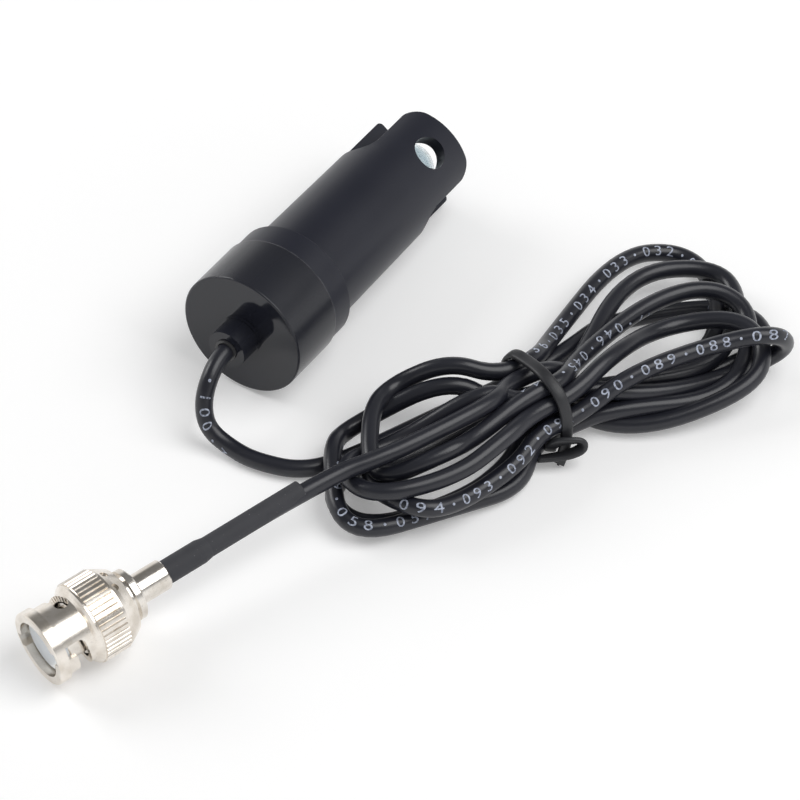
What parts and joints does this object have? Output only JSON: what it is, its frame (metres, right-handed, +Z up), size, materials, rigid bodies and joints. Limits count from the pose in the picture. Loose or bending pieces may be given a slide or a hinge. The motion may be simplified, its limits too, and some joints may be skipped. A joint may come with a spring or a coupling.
{
  "type": "ph electrode",
  "caption": "Black pH electrode: capped round housing, pronged guard round a glass bulb, and a long coaxial lead in a tied hank ending in a bayonet plug.",
  "frame": {"origin": "on the bench under the middle of the electrode's own box, leaving out the lead, the plug and what is on them", "axes": "+Z up; +Y along the lying electrode from its cable boss to its glass bulb; the hank and the plug lie on the +X side"},
  "size_m": [0.0881, 0.1418, 0.0234],
  "materials": {
    "housing": "satin",
    "body_black": "satin",
    "cell_glass": "clear",
    "silver": "dull",
    "copper": "bright",
    "dielectric": "smooth",
    "shroud": "smooth",
    "seal_rubber": "matte",
    "junction": "porous",
    "resin": "glossy",
    "glue": "satin",
    "nickel": "polished",
    "spring_bronze": "satin",
    "gold": "polished",
    "ptfe": "smooth",
    "dust_cover": "smooth",
    "sleeve": "matte",
    "jacket": "satin",
    "tie_coat": "glossy",
    "braid": "bright"
  },
  "bodies": {
    "electrode": {"end_cap": "housing", "guard_body": "body_black", "glass_cell": "cell_glass", "cell_stopper": "seal_rubber", "silver_wire": "silver", "reference_wire": "silver", "lead_core": "copper", "lead_dielectric": "dielectric", "lead_braid": "braid", "joint_shroud": "shroud", "rear_seal": "seal_rubber", "reference_junction": "junction", "front_seal": "seal_rubber", "cap_ring": "seal_rubber", "potting": "resin", "boss_glue": "glue", "wave_washer": "spring_bronze", "plug_body": "nickel", "outer_contact": "nickel", "insulator": "ptfe", "centre_pin": "gold", "face_gasket": "seal_rubber", "dust_plug": "dust_cover", "plug_core": "copper", "plug_dielectric": "dielectric", "crimp_ferrule": "nickel", "shrink_sleeve": "sleeve", "near_lead": "jacket", "far_lead": "jacket", "lead_hank": "jacket", "twist_tie": "tie_coat"},
    "ring_carrier": {"thrust_washer": "nickel"},
    "coupling": {"coupling_ring": "nickel"}
  },
  "joints": [
    {"name": "ring_slide", "type": "slide", "parent": "electrode", "child": "ring_carrier", "axis": [-0.3492, -0.9339, -0.0767], "range_m": [0, 0.0008], "stiffness_N_per_m": 15000, "springref_m": -0.0005},
    {"name": "ring_spin", "type": "hinge", "parent": "ring_carrier", "child": "coupling", "pos_m": [0.01289, -0.08746, 0.0073], "axis": [0.3492, 0.9339, 0.0767], "continuous": true}
  ]
}
